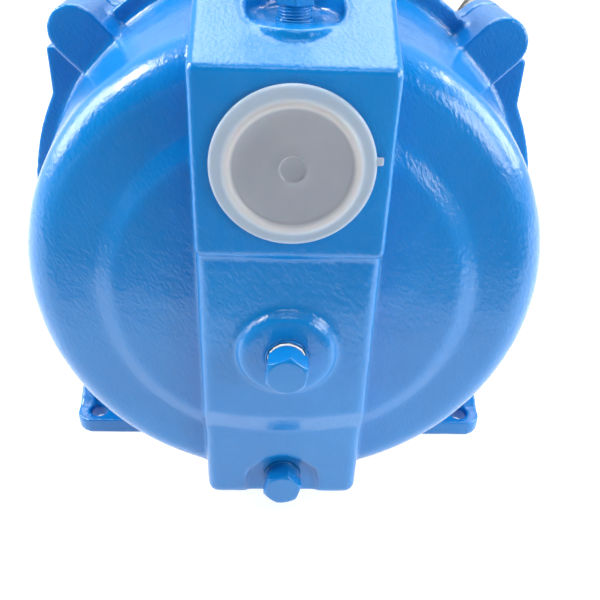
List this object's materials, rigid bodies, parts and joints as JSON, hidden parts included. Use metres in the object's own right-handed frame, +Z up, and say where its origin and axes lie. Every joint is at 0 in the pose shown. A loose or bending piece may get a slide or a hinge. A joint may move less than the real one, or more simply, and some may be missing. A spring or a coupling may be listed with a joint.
{
  "type": "shallow well jet pump",
  "caption": "Cast-iron shallow well jet pump with built-in ejector, square front suction block, round ribbed casing and close-coupled motor.",
  "frame": {"origin": "on the mounting surface, midway between the two front foot bolt holes", "axes": "+Y along the shaft from the suction port towards the motor, +X to the right seen from the suction side, +Z up"},
  "size_m": [0.2196, 0.3979, 0.2405],
  "materials": {
    "blue_cast_iron": "gloss blue enamel over cast iron",
    "blue_plugs": "gloss blue enamel over steel",
    "clear_caps": "translucent natural polyethylene",
    "seal_tape": "white sealing tape",
    "glass_filled_nylon": "moulded black",
    "brass_parts": "machined",
    "black_rubber": "moulded",
    "gasket_paper": "compressed fibre",
    "zinc_fasteners": "zinc plated",
    "ceramic_white": "lapped",
    "carbon": "lapped carbon",
    "stainless": "turned",
    "bearing_steel": "ground",
    "electrical_steel": "laminated",
    "cast_aluminium": "die cast",
    "copper_windings": "varnished copper wire",
    "black_shell": "satin black",
    "black_plastic": "moulded black",
    "plate_aluminium": "brushed, blank",
    "capacitor_case": "white",
    "terminal_plastic": "phenolic"
  },
  "bodies": {
    "pump_and_motor": {"pump_casing": "blue_cast_iron", "motor_bracket": "blue_cast_iron", "nozzle_access_plug": "blue_plugs", "drain_plug": "blue_plugs", "vent_plug": "blue_plugs", "thread_seal_tape": "seal_tape", "nozzle": "brass_parts", "nozzle_washer": "gasket_paper", "venturi_tube": "glass_filled_nylon", "venturi_o_rings": "black_rubber", "diffuser": "glass_filled_nylon", "diffuser_screws": "stainless", "impeller_eye_ring": "stainless", "casing_gasket": "gasket_paper", "casing_bolts": "zinc_fasteners", "casing_bolt_washers": "zinc_fasteners", "bracket_bolts": "zinc_fasteners", "bracket_bolt_washers": "zinc_fasteners", "seal_seat": "ceramic_white", "seal_seat_cup": "black_rubber", "bearing_outer_rings": "bearing_steel", "wave_washer": "stainless", "front_end_bell": "cast_aluminium", "rear_end_bell": "cast_aluminium", "motor_shell": "black_shell", "stator_core": "electrical_steel", "stator_windings": "copper_windings", "through_bolts": "zinc_fasteners", "fan_cowl": "black_shell", "fan_cowl_screws": "zinc_fasteners", "data_plate": "plate_aluminium", "data_plate_rivets": "cast_aluminium", "motor_foot": "black_shell", "motor_foot_screws": "zinc_fasteners", "terminal_box": "black_plastic", "terminal_box_gasket": "black_rubber", "terminal_box_cover": "black_plastic", "terminal_cover_screws": "zinc_fasteners", "terminal_block": "terminal_plastic", "run_capacitor": "capacitor_case", "cable_gland_body": "black_plastic", "cable_gland_nut": "black_plastic", "cable_gland_seal": "black_rubber", "cable_gland_locknut": "black_plastic"},
    "rotor": {"motor_shaft": "stainless", "rotor_core": "electrical_steel", "rotor_cage": "cast_aluminium", "bearing_inner_rings": "bearing_steel", "impeller": "glass_filled_nylon", "impeller_nut": "brass_parts", "seal_carbon_face": "carbon", "seal_head": "stainless", "seal_spring": "stainless", "slinger": "black_rubber", "cooling_fan": "black_plastic"},
    "ball_cages": {"bearing_balls": "bearing_steel", "bearing_cages": "bearing_steel"},
    "suction_cap": {"suction_cap": "clear_caps"},
    "discharge_cap": {"discharge_cap": "clear_caps"}
  },
  "joints": [
    {"name": "shaft_spin", "type": "hinge", "parent": "pump_and_motor", "child": "rotor", "pos_m": [0, 0.1258, 0.112], "axis": [0, 1, 0], "continuous": true},
    {"name": "ball_cage_spin", "type": "hinge", "parent": "pump_and_motor", "child": "ball_cages", "pos_m": [0, 0.1258, 0.112], "axis": [0, 1, 0], "continuous": true},
    {"name": "suction_cap_pull", "type": "slide", "parent": "pump_and_motor", "child": "suction_cap", "axis": [0, -1, 0], "range_m": [0, 0.03]},
    {"name": "discharge_cap_pull", "type": "slide", "parent": "pump_and_motor", "child": "discharge_cap", "axis": [0, 0, 1], "range_m": [0, 0.03]}
  ],
  "couplings": [
    {"joint": "ball_cage_spin", "follows": "shaft_spin", "ratio": 0.3877}
  ]
}
